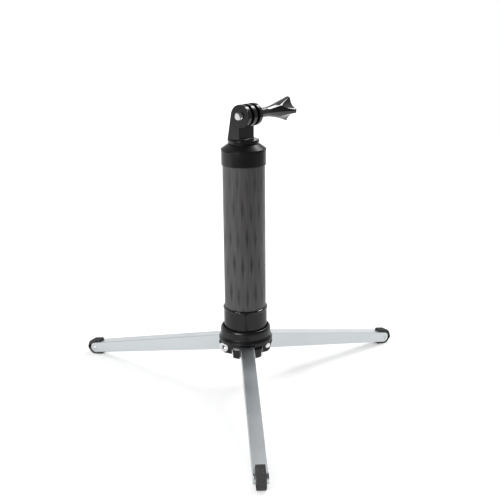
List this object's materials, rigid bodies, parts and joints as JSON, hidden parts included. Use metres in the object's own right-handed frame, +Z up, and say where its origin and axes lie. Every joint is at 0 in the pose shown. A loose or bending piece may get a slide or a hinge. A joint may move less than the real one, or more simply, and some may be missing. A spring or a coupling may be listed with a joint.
{
  "type": "telescopic camera stick with folding stand",
  "caption": "Hand-held telescopic camera stick with a carbon tube handle, twist lock, pronged camera fork with a thumbscrew, and a stand of folding channel legs with rubber feet.",
  "frame": {"origin": "on the standing surface, under the pole axis", "axes": "+Z up along the pole, -Y along leg 1, the other legs at 30 and 150 degrees from +X"},
  "size_m": [0.2422, 0.2098, 0.2017],
  "materials": {
    "carbon": "satin woven carbon, dark grey",
    "black_anodised": "satin black anodised",
    "gloss_black": "polished black anodised",
    "ferrule_grey": "satin dark grey anodised with a polished rim",
    "silver_anodised": "satin silver anodised",
    "bare_aluminium": "turned, plain",
    "steel": "bright plated",
    "rubber": "matt, fine grain",
    "nylon": "natural nylon"
  },
  "bodies": {
    "handle": {"leg_yoke": "black_anodised", "hub_bell": "black_anodised", "base_bolt": "steel", "bottom_ferrule": "ferrule_grey", "handle_tube": "carbon", "top_collar": "black_anodised", "thread_insert": "bare_aluminium", "collet": "nylon", "pivot_screw_1": "steel", "pivot_screw_2": "steel", "pivot_screw_3": "steel", "pivot_washers_1": "nylon", "pivot_washers_2": "nylon", "pivot_washers_3": "nylon"},
    "lock_nut": {"lock_nut": "black_anodised"},
    "pole": {"sliding_tube": "carbon", "glide_bush": "nylon", "head_plug": "bare_aluminium", "head_stud": "steel", "camera_fork": "black_anodised"},
    "thumbscrew": {"clamp_screw": "steel", "thumb_knob": "gloss_black"},
    "leg_1": {"leg_1": "silver_anodised", "foot_pad_1": "rubber", "foot_pin_1": "steel"},
    "leg_2": {"leg_2": "silver_anodised", "foot_pad_2": "rubber", "foot_pin_2": "steel"},
    "leg_3": {"leg_3": "silver_anodised", "foot_pad_3": "rubber", "foot_pin_3": "steel"}
  },
  "joints": [
    {"name": "leg_1_fold", "type": "hinge", "parent": "handle", "child": "leg_1", "pos_m": [0, -0.0122, 0.03087], "axis": [1, 0, 0], "range_deg": [0, 78]},
    {"name": "leg_2_fold", "type": "hinge", "parent": "handle", "child": "leg_2", "pos_m": [0.01057, 0.0061, 0.03087], "axis": [-0.5, 0.866, 0], "range_deg": [0, 78]},
    {"name": "leg_3_fold", "type": "hinge", "parent": "handle", "child": "leg_3", "pos_m": [-0.01057, 0.0061, 0.03087], "axis": [-0.5, -0.866, 0], "range_deg": [0, 78]},
    {"name": "lock_nut_twist", "type": "hinge", "parent": "handle", "child": "lock_nut", "pos_m": [0, 0, 0.1709], "axis": [0, 0, 1], "range_deg": [0, 120]},
    {"name": "pole_slide", "type": "slide", "parent": "handle", "child": "pole", "axis": [0, 0, 1], "range_m": [0, 0.085]},
    {"name": "thumbscrew_turn", "type": "hinge", "parent": "pole", "child": "thumbscrew", "pos_m": [0.00242, -0.0021, 0.19357], "axis": [0.6561, 0.7547, 0], "continuous": true}
  ]
}
